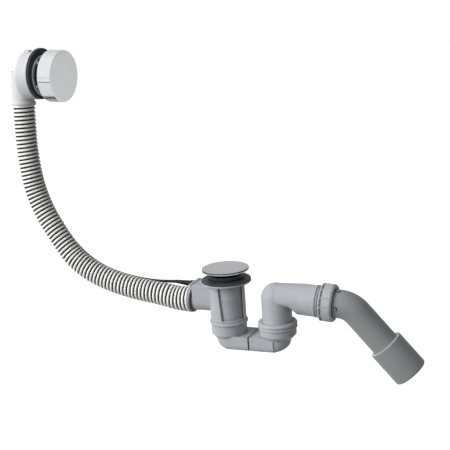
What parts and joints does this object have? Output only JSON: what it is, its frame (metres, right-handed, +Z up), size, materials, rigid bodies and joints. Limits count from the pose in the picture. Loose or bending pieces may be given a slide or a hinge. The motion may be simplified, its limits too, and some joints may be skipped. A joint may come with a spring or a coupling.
{
  "type": "bath waste and overflow",
  "caption": "Bath waste and overflow: raised plug worked by a cable from a turning overflow knob, ribbed hose, low swivelling trap and angled outlet pipe with a sleeve.",
  "frame": {"origin": "centre of the waste, on top of the gasket that the bottom of the bath lies on", "axes": "+Z up along the waste's axis and the plug's travel, +X towards the drain outlet, the overflow head stands at -X"},
  "size_m": [0.6112, 0.076, 0.4823],
  "materials": {
    "grey_plastic": "moulded satin",
    "pipe_grey": "extruded satin",
    "light_plastic": "moulded satin",
    "black_plastic": "moulded satin",
    "ring_grey": "satin",
    "white_plastic": "moulded",
    "black_rubber": "matt",
    "hose_vinyl": "ribbed",
    "polished_chrome": "polished",
    "brass_stem": "turned",
    "steel": "bright"
  },
  "bodies": {
    "root": {"waste_body": "grey_plastic", "waste_gasket": "black_rubber", "valve_seat": "black_plastic", "wedge_guide": "white_plastic", "cable_boot": "black_plastic", "cable_sheath": "black_plastic", "cable_ferrule": "black_plastic", "overflow_hose": "hose_vinyl", "hose_ring": "ring_grey", "overflow_elbow": "light_plastic", "head_gasket": "black_rubber", "clamp_flange": "black_plastic", "clamp_screws": "steel"},
    "knob": {"overflow_knob": "polished_chrome", "knob_spindle": "white_plastic", "cable_winch": "white_plastic"},
    "wedge": {"lift_wedge": "white_plastic", "cable_wire": "steel"},
    "plug": {"plug_cap": "polished_chrome", "plug_seal": "black_rubber", "plug_stem": "brass_stem", "stem_nut": "brass_stem"},
    "trap": {"trap_inlet_half": "grey_plastic", "trap_outlet_half": "grey_plastic", "trap_joint_seal": "black_rubber", "column_seal": "black_rubber", "riser_ring": "grey_plastic", "riser_seal": "black_rubber"},
    "elbow": {"outlet_elbow": "grey_plastic", "union_nut": "grey_plastic", "cone_seal": "black_rubber", "slip_washer": "white_plastic"},
    "bend": {"outlet_bend": "pipe_grey", "reducer_sleeve": "pipe_grey", "sleeve_seal": "black_rubber"}
  },
  "joints": [
    {"name": "knob_turn", "type": "hinge", "parent": "root", "child": "knob", "pos_m": [-0.2717, 0, 0.2999], "axis": [0.9971, 0, -0.0767], "range_deg": [0, 90]},
    {"name": "wedge_slide", "type": "slide", "parent": "root", "child": "wedge", "axis": [1, 0, 0], "range_m": [-0.012, 0]},
    {"name": "plug_lift", "type": "slide", "parent": "root", "child": "plug", "axis": [0, 0, 1], "range_m": [-0.007, 0]},
    {"name": "trap_swivel", "type": "hinge", "parent": "root", "child": "trap", "pos_m": [0, 0, -0.07], "axis": [0, 0, 1], "range_deg": [-90, 90]},
    {"name": "riser_swivel", "type": "hinge", "parent": "trap", "child": "elbow", "pos_m": [0.0749, 0, -0.07], "axis": [0, 0, -1], "range_deg": [-60, 60]},
    {"name": "bend_swivel", "type": "hinge", "parent": "elbow", "child": "bend", "pos_m": [0.0749, 0, -0.0238], "axis": [0.9976, 0, -0.0698], "range_deg": [-90, 90]}
  ],
  "couplings": [
    {"joint": "wedge_slide", "follows": "knob_turn", "m_per_rad": -0.007639},
    {"joint": "plug_lift", "follows": "knob_turn", "m_per_rad": -0.004456}
  ]
}
